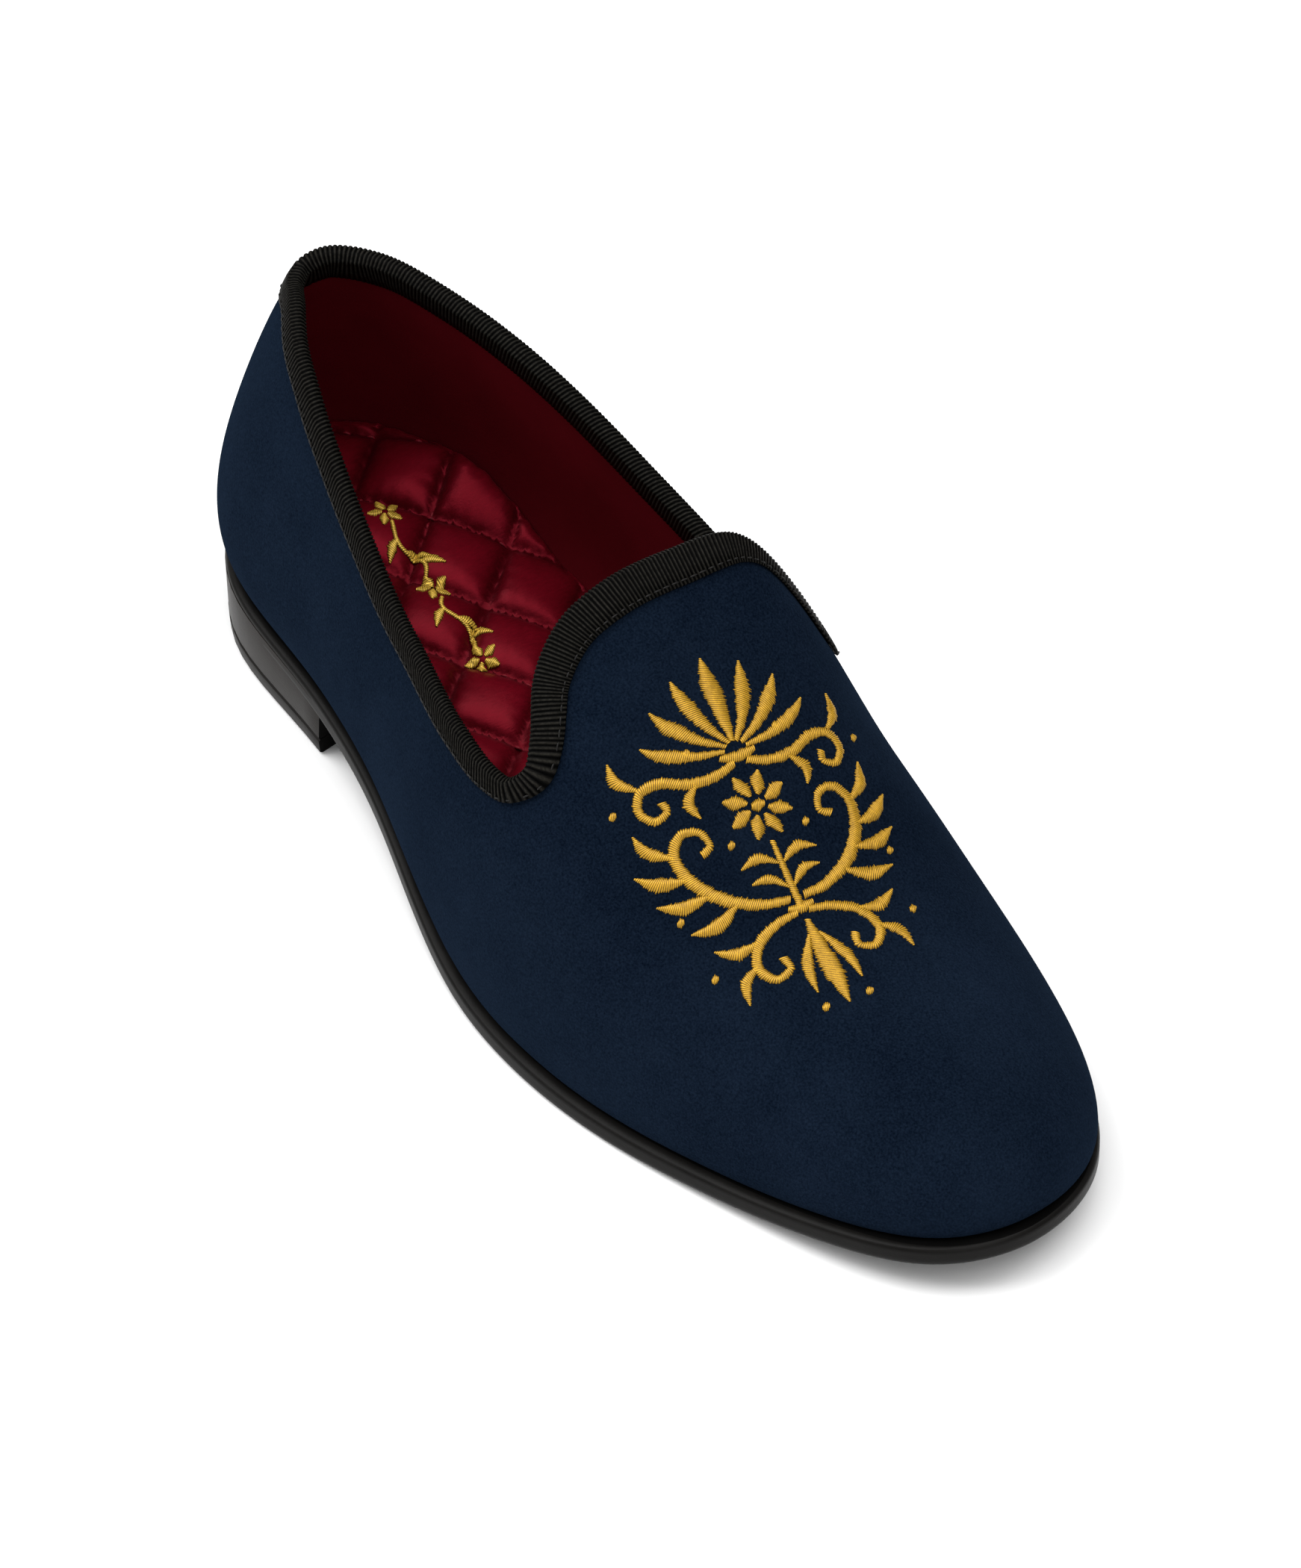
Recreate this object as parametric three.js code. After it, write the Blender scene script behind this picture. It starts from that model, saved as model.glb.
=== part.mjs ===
// Velvet slipper loafer, right shoe, one body, millimetres.
// Drawn with +X toward the toe, +Y toward the wearer's left and +Z up, heel and ball on z = 0.
import * as THREE from 'three';

// Driving sizes
const LENGTH = 298;
const BALL_WIDTH = 106.8;
const INSTEP_HEIGHT = 97;
const HEEL_LIFT = 16.3;
const TOE_SPRING = 9.3;
const WALL = 2;
const GAP = 0.3;
const SOLE_THICKNESS = 5.2;
const SOLE_EDGE = 2.5;
const HEEL_LENGTH = 69;
const TOP_PIECE = 4.6;
const RIBBON_LEG = 7.6;
const RIBBON_THICKNESS = 0.8;
const PAD_THICKNESS = 6.5;
const PAD_CLEARANCE = 0.75;
const TAB_FLARE = 6;
const SWELL_HEIGHT = 20;
const ROUNDING = 0.4;
const HEEL_INSET = 0.3;
const HEEL_TAPER = 0.7;
const HEEL_LEAN = 1;
const HEEL_HOLLOW = 3.2;

// Small helpers: a table of rows becomes a smooth curve through them
const lerp = (a, b, f) => a + (b - a) * f;
const clamp = (v, lo, hi) => Math.min(hi, Math.max(lo, v));

function column(names, rows, key) {
  return rows.map((row) => row[names.indexOf(key)]);
}

function cubic(x, y) {
  const n = x.length;
  const m = new Array(n).fill(0);
  const c = new Array(n).fill(0);
  const d = new Array(n).fill(0);
  for (let i = 1; i < n - 1; i += 1) {
    const lo = x[i] - x[i - 1];
    const hi = x[i + 1] - x[i];
    const rise = 6 * ((y[i + 1] - y[i]) / hi - (y[i] - y[i - 1]) / lo);
    const pivot = 2 * (lo + hi) - lo * c[i - 1];
    c[i] = hi / pivot;
    d[i] = (rise - lo * d[i - 1]) / pivot;
  }
  for (let i = n - 2; i > 0; i -= 1) m[i] = d[i] - c[i] * m[i + 1];
  return (v) => {
    let i = 0;
    while (i < n - 2 && v > x[i + 1]) i += 1;
    const w = x[i + 1] - x[i];
    const a = (x[i + 1] - v) / w;
    const b = (v - x[i]) / w;
    const bend = ((a * a * a - a) * m[i] + (b * b * b - b) * m[i + 1]) * w * w / 6;
    return a * y[i] + b * y[i + 1] + bend;
  };
}

// A curve that never overshoots its rows, so equal rows give a truly flat run
function steady(x, y) {
  const n = x.length;
  const slope = [];
  for (let i = 0; i < n - 1; i += 1) slope.push((y[i + 1] - y[i]) / (x[i + 1] - x[i]));
  const g = [slope[0]];
  for (let i = 1; i < n - 1; i += 1) {
    const p = slope[i - 1];
    const q = slope[i];
    g.push(p * q <= 0 ? 0 : 2 * p * q / (p + q));
  }
  g.push(slope[n - 2]);
  return (v) => {
    let i = 0;
    while (i < n - 2 && v > x[i + 1]) i += 1;
    const w = x[i + 1] - x[i];
    const f = clamp((v - x[i]) / w, 0, 1);
    const f2 = f * f;
    const f3 = f2 * f;
    const ends = (2 * f3 - 3 * f2 + 1) * y[i] + (3 * f2 - 2 * f3) * y[i + 1];
    return ends + ((f3 - 2 * f2 + f) * g[i] + (f3 - f2) * g[i + 1]) * w;
  };
}

// Bottom outline: half widths as shares of the ball width, at even turns from heel (0) to toe (1)
const OUTLINE_COLUMNS = ['turn', 'lateral', 'medial'];
const OUTLINE = [
  [0.0, 0.0000, 0.0000],
  [0.1, 0.1367, 0.1554],
  [0.2, 0.2753, 0.2622],
  [0.3, 0.3137, 0.3330],
  [0.4, 0.3820, 0.3820],
  [0.5, 0.5112, 0.4330],
  [0.6, 0.5281, 0.4719],
  [0.7, 0.4354, 0.4560],
  [0.8, 0.3277, 0.3670],
  [0.9, 0.1966, 0.2154],
  [1.0, 0.0000, 0.0000],
];

// Seat line: sole top above its height at the ball, as shares of the lift at the heel or toe
const SEAT_COLUMNS = ['share', 'heel', 'toe'];
const SEAT = [
  [0.00, 1.000, 0.000],
  [0.20, 0.816, 0.000],
  [0.30, 0.601, 0.000],
  [0.42, 0.233, 0.000],
  [0.55, 0.000, 0.000],
  [0.68, 0.000, 0.000],
  [0.80, 0.000, 0.172],
  [0.92, 0.000, 0.645],
  [1.00, 0.000, 1.000],
];

// Ridge of the last above the floor, as shares of the instep height
const RIDGE_COLUMNS = ['share', 'height'];
const RIDGE = [
  [0.00, 1.155],
  [0.15, 1.165],
  [0.30, 1.210],
  [0.42, 1.144],
  [0.52, 1.000],
  [0.62, 0.778],
  [0.72, 0.574],
  [0.82, 0.468],
  [0.92, 0.4170],
  [1.00, 0.3814],
];

// Wall by turn: swell beyond the feather line as a share of the ball width, then how square it is
const WALL_COLUMNS = ['turn', 'swellLateral', 'swellMedial', 'squareLateral', 'squareMedial', 'rise'];
const WALLS = [
  [0.00, 0.0393, 0.0393, 2.60, 2.60, 2.00],
  [0.25, 0.0552, 0.0581, 2.25, 2.85, 1.95],
  [0.50, 0.0318, 0.0618, 2.45, 3.00, 2.05],
  [0.75, 0.0140, 0.0131, 2.30, 2.50, 2.10],
  [1.00, 0.0094, 0.0094, 2.30, 2.30, 2.30],
];

// Padded sock: thickness over the sole at its rim and along its middle, as shares of its least
const PAD_COLUMNS = ['share', 'rim', 'middle'];
const PAD = [
  [0.00, 1.90, 1.55],
  [0.08, 2.60, 1.70],
  [0.14, 2.90, 1.77],
  [0.19, 2.10, 1.62],
  [0.23, 1.30, 1.40],
  [0.28, 1.00, 1.25],
  [0.60, 1.00, 1.25],
  [1.00, 1.00, 1.25],
];

// Topline in plan, a closed loop from the back seam along the lateral side and home again
const TOPLINE_COLUMNS = ['along', 'across'];
const TOPLINE = [
  [0.0490, 0.0000],
  [0.0614, -0.0468],
  [0.0839, -0.0861],
  [0.1208, -0.1461],
  [0.1695, -0.1938],
  [0.2215, -0.2285],
  [0.2785, -0.2640],
  [0.3591, -0.3193],
  [0.4513, -0.3867],
  [0.5034, -0.4073],
  [0.5309, -0.3998],
  [0.5403, -0.3727],
  [0.5315, -0.3408],
  [0.5081, -0.2884],
  [0.4977, -0.2191],
  [0.4963, -0.1170],
  [0.4966, 0.0094],
  [0.4990, 0.1264],
  [0.5017, 0.2107],
  [0.5087, 0.2547],
  [0.5218, 0.2884],
  [0.5369, 0.3146],
  [0.5483, 0.3333],
  [0.5490, 0.3483],
  [0.5352, 0.3633],
  [0.5101, 0.3652],
  [0.4698, 0.3549],
  [0.4094, 0.3324],
  [0.3255, 0.3006],
  [0.2500, 0.2612],
  [0.1812, 0.2135],
  [0.1141, 0.1564],
  [0.0705, 0.1011],
  [0.0557, 0.0543],
];

// Where the last's ridge starts and ends, and how it sways sideways in shares of the ball width
const SPINE_START = 0.13;
const SPINE_END = 0.86;
const SPINE_COLUMNS = ['share', 'sway'];
const SPINE = [
  [0.0, 0.0431],
  [0.5, 0.0019],
  [1.0, -0.0562],
];

const turns = column(OUTLINE_COLUMNS, OUTLINE, 'turn');
const lateralWidth = cubic(turns, column(OUTLINE_COLUMNS, OUTLINE, 'lateral'));
const medialWidth = cubic(turns, column(OUTLINE_COLUMNS, OUTLINE, 'medial'));
const seatShares = column(SEAT_COLUMNS, SEAT, 'share');
const heelRise = steady(seatShares, column(SEAT_COLUMNS, SEAT, 'heel'));
const toeRise = steady(seatShares, column(SEAT_COLUMNS, SEAT, 'toe'));
const ridgeShares = column(RIDGE_COLUMNS, RIDGE, 'share');
const ridgeHeight = cubic(ridgeShares, column(RIDGE_COLUMNS, RIDGE, 'height'));
const wallTurns = column(WALL_COLUMNS, WALLS, 'turn');
const wallCurve = (key) => cubic(wallTurns, column(WALL_COLUMNS, WALLS, key));
const swell = { '-1': wallCurve('swellLateral'), 1: wallCurve('swellMedial') };
const square = { '-1': wallCurve('squareLateral'), 1: wallCurve('squareMedial') };
const riseShape = wallCurve('rise');
const spineShares = column(SPINE_COLUMNS, SPINE, 'share');
const spineSway = cubic(spineShares, column(SPINE_COLUMNS, SPINE, 'sway'));
const padShares = column(PAD_COLUMNS, PAD, 'share');
const padRim = steady(padShares, column(PAD_COLUMNS, PAD, 'rim'));
const padMiddle = steady(padShares, column(PAD_COLUMNS, PAD, 'middle'));

// Height of the sole's upper face at a distance from the heel
function seatZ(x) {
  const share = clamp(x / LENGTH, 0, 1);
  return SOLE_THICKNESS + HEEL_LIFT * heelRise(share) + TOE_SPRING * toeRise(share);
}

// Point on the bottom outline, moved inward by an inset
function rawOutline(turn, side) {
  const x = LENGTH * (1 - Math.cos(Math.PI * turn)) / 2;
  const width = side < 0 ? lateralWidth(turn) : medialWidth(turn);
  return [x, side * width * BALL_WIDTH];
}

function outline(turn, side, inset) {
  const step = 1e-4;
  const here = rawOutline(turn, side);
  const ahead = rawOutline(turn + step, side);
  const behind = rawOutline(turn - step, side);
  const tx = ahead[0] - behind[0];
  const ty = ahead[1] - behind[1];
  const size = Math.hypot(tx, ty);
  return [here[0] + ty / size * side * inset, here[1] - tx / size * side * inset];
}

// The last: a fan of rounded profiles, each from the feather line to the ridge above it
const liftCentre = [0.52 * LENGTH, 0.31 * BALL_WIDTH];
const liftReach = [0.1 * LENGTH, 0.27 * BALL_WIDTH];

function spinePoint(foot) {
  const x = SPINE_START * LENGTH + (SPINE_END - SPINE_START) * foot[0];
  return [x, spineSway(x / LENGTH) * BALL_WIDTH];
}

function lastPoint(turn, side, reach) {
  const foot = outline(turn, side, SOLE_EDGE);
  const spine = spinePoint(foot);
  const dx = spine[0] - foot[0];
  const dy = spine[1] - foot[1];
  const size = Math.hypot(dx, dy);
  const cosine = (1 - clamp(reach, 0, 0.99999)) ** (square[side](turn) / 2);
  const climb = Math.sqrt(1 - cosine * cosine) ** (2 / riseShape(turn));
  const px = foot[0] + dx * reach;
  const py = foot[1] + dy * reach;
  const base = seatZ(foot[0]) + GAP;
  const height = (ridgeHeight(clamp(px / LENGTH, 0, 1)) * INSTEP_HEIGHT - base) * climb;
  const bulge = height / SWELL_HEIGHT;
  const push = swell[side](turn) * BALL_WIDTH * bulge * Math.exp(1 - bulge);
  const rx = (px - liftCentre[0]) / liftReach[0];
  const ry = (py - liftCentre[1]) / liftReach[1];
  const flare = TAB_FLARE * Math.max(0, 1 - rx * rx - ry * ry) ** 2;
  return [px - dx / size * push, py - dy / size * push, base + height + flare];
}

// Finds the profile of the fan that passes over a plan position
function locate(cx, cy) {
  const heelFoot = outline(0, 1, SOLE_EDGE);
  const toeFoot = outline(1, 1, SOLE_EDGE);
  const heelSpine = spinePoint(heelFoot);
  const toeSpine = spinePoint(toeFoot);
  let middle = spineSway(cx / LENGTH) * BALL_WIDTH;
  if (cx < heelSpine[0]) {
    middle = lerp(heelFoot[1], heelSpine[1], (cx - heelFoot[0]) / (heelSpine[0] - heelFoot[0]));
  } else if (cx > toeSpine[0]) {
    middle = lerp(toeSpine[1], toeFoot[1], (cx - toeSpine[0]) / (toeFoot[0] - toeSpine[0]));
  }
  const side = cy < middle ? -1 : 1;
  const turnOf = (x) => Math.acos(clamp(1 - 2 * x / LENGTH, -1, 1)) / Math.PI;
  const mirrored = (cx - SPINE_START * LENGTH) / (SPINE_END - SPINE_START);
  let low = Math.max(0, turnOf(Math.min(cx, mirrored)) - 0.03);
  let high = Math.min(1, turnOf(Math.max(cx, mirrored)) + 0.03);
  for (let i = 0; i < 40; i += 1) {
    const mid = (low + high) / 2;
    const foot = outline(mid, side, SOLE_EDGE);
    const spine = spinePoint(foot);
    const cross = (spine[0] - foot[0]) * (cy - foot[1]) - (spine[1] - foot[1]) * (cx - foot[0]);
    if (cross * side > 0) low = mid;
    else high = mid;
  }
  const turn = (low + high) / 2;
  const foot = outline(turn, side, SOLE_EDGE);
  const spine = spinePoint(foot);
  const dx = spine[0] - foot[0];
  const dy = spine[1] - foot[1];
  const reach = ((cx - foot[0]) * dx + (cy - foot[1]) * dy) / (dx * dx + dy * dy);
  return { turn, side, reach: clamp(reach, 0, 1) };
}

// Point and outward normal of the last on one profile, then over a plan position
function skinAt(at) {
  const p = new THREE.Vector3(...lastPoint(at.turn, at.side, at.reach));
  const angle = Math.acos(clamp(1 - at.reach, 0, 1));
  const step = 0.01;
  const a0 = Math.max(0, angle - step);
  const a1 = Math.min(Math.PI / 2 - 0.002, angle + step);
  const up = new THREE.Vector3(...lastPoint(at.turn, at.side, 1 - Math.cos(a1)));
  up.sub(new THREE.Vector3(...lastPoint(at.turn, at.side, 1 - Math.cos(a0))));
  const t0 = at.turn - 0.002;
  const t1 = at.turn + 0.002;
  const along = new THREE.Vector3(...lastPoint(t1, at.side, at.reach));
  along.sub(new THREE.Vector3(...lastPoint(t0, at.side, at.reach)));
  const normal = new THREE.Vector3().crossVectors(along, up).multiplyScalar(-at.side).normalize();
  return { p, normal };
}

function skin(cx, cy) {
  return skinAt(locate(cx, cy));
}

// Point of the wall at a height above the feather line
function wallAt(turn, height) {
  const side = turn <= 1 ? -1 : 1;
  const own = turn <= 1 ? turn : 2 - turn;
  const base = seatZ(outline(own, side, SOLE_EDGE)[0]) + GAP;
  let low = 0;
  let high = 0.5;
  for (let i = 0; i < 30; i += 1) {
    const mid = (low + high) / 2;
    if (lastPoint(own, side, mid)[2] - base < height) low = mid;
    else high = mid;
  }
  return skinAt({ turn: own, side, reach: high });
}

// Topline as a closed smooth loop in plan
const knots = TOPLINE.map((row) => [row[0] * LENGTH, row[1] * BALL_WIDTH]);
const loopCurve = new THREE.CatmullRomCurve3(
  knots.map((k) => new THREE.Vector3(k[0], k[1], 0)),
  true,
  'centripetal',
);

// The upper's grid: columns round the shoe and rows up it, crowded toward the feather line
const COLUMNS = 96;
const ROWS = 13;
const ROW_CROWDING = 2.2;

// Columns are closer together where the topline turns sharply
const CORNER_SPAN = 6;
const CORNER_WEIGHT = 11;
const CORNER_LIMIT = 0.22;

function toplineStations() {
  const fine = 900;
  const plan = [];
  const solid = [];
  for (let i = 0; i < fine; i += 1) {
    const v = loopCurve.getPoint(i / fine);
    plan.push([v.x, v.y]);
    solid.push(skin(v.x, v.y).p);
  }
  const weight = [];
  for (let i = 0; i < fine; i += 1) {
    const before = solid[(i + fine - CORNER_SPAN) % fine];
    const here = solid[i];
    const after = solid[(i + CORNER_SPAN) % fine];
    const a = here.clone().sub(before);
    const b = after.clone().sub(here);
    const turn = a.angleTo(b) / (0.5 * (a.length() + b.length()));
    const stride = here.distanceTo(solid[(i + 1) % fine]);
    weight.push(stride * (1 + CORNER_WEIGHT * Math.min(turn, CORNER_LIMIT)));
  }
  const total = weight.reduce((s, w) => s + w, 0);
  const marks = [];
  let sum = 0;
  let next = 0;
  for (let i = 0; i < fine && marks.length < COLUMNS; i += 1) {
    while (next <= sum + weight[i] && marks.length < COLUMNS) {
      marks.push((i + (next - sum) / weight[i]) / fine);
      next += total / COLUMNS;
    }
    sum += weight[i];
  }
  return marks;
}

// Along each row of anchors the topline's share of the loop meets a turn of the feather line
const marks = toplineStations();
const rowShare = (index) => index / TOPLINE.length;
const ANCHOR_COLUMNS = ['loop', 'feather'];
const ANCHORS = [
  [0, 0],
  [rowShare(6), 0.37],
  [rowShare(11), 0.60],
  [rowShare(14), 0.76],
  [rowShare(16), 1],
  [rowShare(18.4), 1.24],
  [rowShare(22.5), 1.40],
  [rowShare(28.5), 1.63],
  [1, 2],
];
const anchorLoop = column(ANCHOR_COLUMNS, ANCHORS, 'loop');
const featherOf = steady(anchorLoop, column(ANCHOR_COLUMNS, ANCHORS, 'feather'));

function footOf(turn, inset) {
  return turn <= 1 ? outline(turn, -1, inset) : outline(2 - turn, 1, inset);
}

// A closed mesh from rings of points; the last ring may join the first, or caps close the ends
function gridMesh(rings, closed, capped) {
  const n = rings[0].length;
  const positions = rings.flat().flatMap((p) => [p.x, p.y, p.z]);
  const faces = [];
  const last = closed ? rings.length : rings.length - 1;
  for (let r = 0; r < last; r += 1) {
    const a = r * n;
    const b = ((r + 1) % rings.length) * n;
    for (let i = 0; i < n; i += 1) {
      const j = (i + 1) % n;
      faces.push(a + i, a + j, b + j, a + i, b + j, b + i);
    }
  }
  if (capped) {
    const top = (rings.length - 1) * n;
    for (let i = 0; i < n / 2; i += 1) {
      const near = i;
      const far = (n - i) % n;
      const nearNext = i + 1;
      const farNext = n - i - 1;
      if (far !== near) {
        faces.push(near, far, nearNext, top + near, top + nearNext, top + far);
      }
      if (farNext !== nearNext) {
        faces.push(far, farNext, nearNext, top + far, top + nearNext, top + farNext);
      }
    }
  }
  const geometry = new THREE.BufferGeometry();
  geometry.setAttribute('position', new THREE.Float32BufferAttribute(positions, 3));
  geometry.setIndex(faces);
  return geometry;
}

function volumeOf(geometry) {
  const p = geometry.attributes.position;
  const index = geometry.index.array;
  const a = new THREE.Vector3();
  const b = new THREE.Vector3();
  const c = new THREE.Vector3();
  let sum = 0;
  for (let i = 0; i < index.length; i += 3) {
    a.fromBufferAttribute(p, index[i]);
    b.fromBufferAttribute(p, index[i + 1]);
    c.fromBufferAttribute(p, index[i + 2]);
    sum += a.dot(b.cross(c)) / 6;
  }
  return sum;
}

function outward(geometry) {
  if (volumeOf(geometry) < 0) {
    const index = geometry.index.array;
    for (let i = 0; i < index.length; i += 3) {
      const keep = index[i + 1];
      index[i + 1] = index[i + 2];
      index[i + 2] = keep;
    }
  }
  geometry.computeVertexNormals();
  return geometry;
}

// Walks down the last's skin from the topline, square to it, in short strides
const STRIDES = 6;
const NUDGE = 0.05;

function walkDown(mark, distance) {
  const sliver = 0.0015;
  const here = loopCurve.getPoint(mark);
  const ahead = loopCurve.getPoint((mark + sliver) % 1);
  const behind = loopCurve.getPoint((mark + 1 - sliver) % 1);
  const a = skin(ahead.x, ahead.y);
  const b = skin(behind.x, behind.y);
  const tangent = a.p.clone().sub(b.p).normalize();
  const start = skin(here.x, here.y);
  const down = new THREE.Vector3().crossVectors(tangent, start.normal).normalize();
  const inward = footOf(featherOf(mark), SOLE_EDGE);
  const toward = new THREE.Vector3(inward[0] - here.x, inward[1] - here.y, 0);
  toward.z = -toward.length();
  if (down.dot(toward) < 0) down.negate();
  const stride = distance / STRIDES;
  const plan = [here.x, here.y];
  let at = start;
  for (let i = 0; i < STRIDES; i += 1) {
    const px = skin(plan[0] + NUDGE, plan[1]).p.sub(at.p).divideScalar(NUDGE);
    const py = skin(plan[0], plan[1] + NUDGE).p.sub(at.p).divideScalar(NUDGE);
    const xx = px.dot(px);
    const xy = px.dot(py);
    const yy = py.dot(py);
    const gx = px.dot(down);
    const gy = py.dot(down);
    const det = xx * yy - xy * xy;
    plan[0] += stride * (gx * yy - gy * xy) / det;
    plan[1] += stride * (gy * xx - gx * xy) / det;
    const next = skin(plan[0], plan[1]);
    const travelled = next.p.clone().sub(at.p);
    down.copy(travelled).normalize();
    at = next;
  }
  return { at, down, start, plan };
}

// Rows where the ribbon lies on the upper, shared by both so that their facets agree
const hem = marks.map((mark) => {
  const low = walkDown(mark, RIBBON_LEG);
  const mid = walkDown(mark, RIBBON_LEG / 2);
  return { edge: low.start, up: mid.down.clone().negate(), low: low.at, mid: mid.at, plan: low.plan };
});

// Upper: outer skin from feather line to topline, and an inner skin one wall further in
function makeUpper() {
  const outer = [];
  const inner = [];
  const addRow = (spots) => {
    outer.push(spots.map((at) => at.p));
    inner.unshift(spots.map((at) => at.p.clone().addScaledVector(at.normal, -WALL)));
  };
  for (let r = 0; r < ROWS; r += 1) {
    const f = (r / ROWS) ** ROW_CROWDING;
    addRow(hem.map((station, i) => {
      const turn = featherOf(marks[i]);
      const foot = footOf(turn, SOLE_EDGE);
      if (r > 0) return skin(lerp(foot[0], station.plan[0], f), lerp(foot[1], station.plan[1], f));
      const outside = footOf(turn, 0);
      const p = new THREE.Vector3(foot[0], foot[1], seatZ(foot[0]) + GAP);
      const normal = new THREE.Vector3(outside[0] - foot[0], outside[1] - foot[1], 0).normalize();
      return { p, normal };
    }));
  }
  addRow(hem.map((station) => station.low));
  addRow(hem.map((station) => station.mid));
  addRow(hem.map((station) => station.edge));
  return outward(gridMesh([...outer, ...inner], true, false));
}

// Binding: a ribbon folded over the topline, one leg outside and one inside
function makeBinding() {
  const near = GAP;
  const far = GAP + RIBBON_THICKNESS;
  const crown = WALL / 2;
  const rings = [];
  const put = (spot, out) => spot.p.clone().addScaledVector(spot.normal, out);
  for (const { edge, up, low, mid } of hem) {
    const rim = (out, rise) => put(edge, out).addScaledVector(up, rise);
    rings.push([
      put(low, far),
      rim(far, 0),
      rim(far * 0.55, far * 0.8),
      rim(-crown, far + 0.25),
      rim(-WALL - far * 0.55, far * 0.8),
      rim(-WALL - far, 0),
      put(low, -WALL - far),
      put(low, -WALL - near),
      put(mid, -WALL - near),
      rim(-WALL - near, near),
      rim(near, near),
      put(mid, near),
      put(low, near),
    ]);
  }
  return outward(gridMesh(rings, true, false));
}

// A ring of points round the bottom outline, paired across so that caps stay flat
function bottomRing(inset, height, count) {
  const ring = [];
  for (let i = 0; i < count; i += 1) {
    const foot = footOf(2 * i / count, inset);
    ring.push(new THREE.Vector3(foot[0], foot[1], height(foot[0])));
  }
  return ring;
}

// Outsole: one thin leather board that follows the seat line
function makeOutsole() {
  const count = 96;
  const under = (x) => seatZ(x) - SOLE_THICKNESS;
  return outward(gridMesh([
    bottomRing(3 * ROUNDING, under, count),
    bottomRing(ROUNDING, (x) => under(x) + ROUNDING, count),
    bottomRing(0, (x) => under(x) + 3 * ROUNDING, count),
    bottomRing(0, (x) => seatZ(x) - 2 * ROUNDING, count),
    bottomRing(2 * ROUNDING, seatZ, count),
  ], false, true));
}

// Insole: a padded sock that fills the upper's floor, with its rim climbing the heel's walls.
// A level lies at a share of the rim's thickness plus a rise, drawn in from the wall by an inset.
const LEVEL_COLUMNS = ['share', 'rise', 'inset'];
const LEVELS = [
  [0.0, 0.3, 1.5],
  [0.0, 2.0, 0.8],
  [0.5, 0.0, 0.4],
  [1.0, -1.6, 0.3],
  [1.0, -0.4, 1.0],
  [1.0, 0.0, 3.0],
];
const CROWN_SHARES = [0.72, 0.36];
const PAD_END = 0.047;

function makeInsole() {
  const count = 80;
  const half = count / 2;
  const shares = column(LEVEL_COLUMNS, LEVELS, 'share');
  const rises = column(LEVEL_COLUMNS, LEVELS, 'rise');
  const insets = column(LEVEL_COLUMNS, LEVELS, 'inset');
  const rings = shares.map((share, k) => {
    const ring = [];
    for (let i = 0; i < count; i += 1) {
      const turn = 2 * i / count;
      const rim = PAD_THICKNESS * padRim(footOf(turn, SOLE_EDGE)[0] / LENGTH);
      const height = share * rim + rises[k];
      const at = wallAt(turn, height);
      const p = at.p.clone().addScaledVector(at.normal, -WALL - GAP - PAD_CLEARANCE - insets[k]);
      p.z = seatZ(p.x) + height;
      ring.push(p);
    }
    return ring;
  });
  const edge = rings[rings.length - 1];
  CROWN_SHARES.forEach((share, k) => {
    rings.push(edge.map((rim, i) => {
      const mate = edge[(count - i) % count];
      const middle = (rim.y + mate.y) / 2;
      const fade = (1 - share * share) * Math.sin(Math.PI * (i % half) / half) ** 0.5;
      const drawn = clamp(rim.x, PAD_END * LENGTH, (1 - PAD_END) * LENGTH);
      const x = lerp(rim.x, drawn, (k + 1) / CROWN_SHARES.length);
      const y = middle + (rim.y - middle) * share;
      const crown = PAD_THICKNESS * (padMiddle(x / LENGTH) - padRim(x / LENGTH)) * fade;
      return new THREE.Vector3(x, y, seatZ(x) + rim.z - seatZ(rim.x) + crown);
    }));
  });
  return outward(gridMesh(rings, false, true));
}

// Heel parts share the sole's outline up to the breast, which is cut a little hollow
const HEEL_COUNT = 18;
const BREAST_COUNT = 9;

function heelRing(inset, breast, height) {
  const ring = [];
  const turnAt = Math.acos(1 - 2 * breast / LENGTH) / Math.PI;
  for (let i = -HEEL_COUNT; i <= HEEL_COUNT; i += 1) {
    const turn = Math.abs(i) / HEEL_COUNT * turnAt;
    const foot = outline(turn, i < 0 ? -1 : 1, inset);
    ring.push(new THREE.Vector3(foot[0], foot[1], height(foot[0])));
  }
  const near = ring[ring.length - 1];
  const far = ring[0];
  for (let k = 1; k < BREAST_COUNT; k += 1) {
    const f = k / BREAST_COUNT;
    const x = lerp(near.x, far.x, f) - HEEL_HOLLOW * Math.sin(Math.PI * f);
    ring.push(new THREE.Vector3(x, lerp(near.y, far.y, f), height(x)));
  }
  return ring;
}

// Closes a stack of heel rings with a flat face at each end
function heelMesh(rings) {
  const geometry = gridMesh(rings, false, false);
  const faces = Array.from(geometry.index.array);
  const flat = (ring) => {
    const contour = ring.map((p) => new THREE.Vector2(p.x, p.y));
    const turned = THREE.ShapeUtils.isClockWise(contour);
    const found = THREE.ShapeUtils.triangulateShape(contour, []);
    return found.map((f) => {
      const corners = f.map((k) => contour[k]);
      return THREE.ShapeUtils.isClockWise(corners) === turned ? f : [f[0], f[2], f[1]];
    });
  };
  const top = (rings.length - 1) * rings[0].length;
  for (const f of flat(rings[0])) faces.push(f[0], f[2], f[1]);
  for (const f of flat(rings[rings.length - 1])) faces.push(top + f[0], top + f[1], top + f[2]);
  geometry.setIndex(faces);
  return outward(geometry);
}

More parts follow.
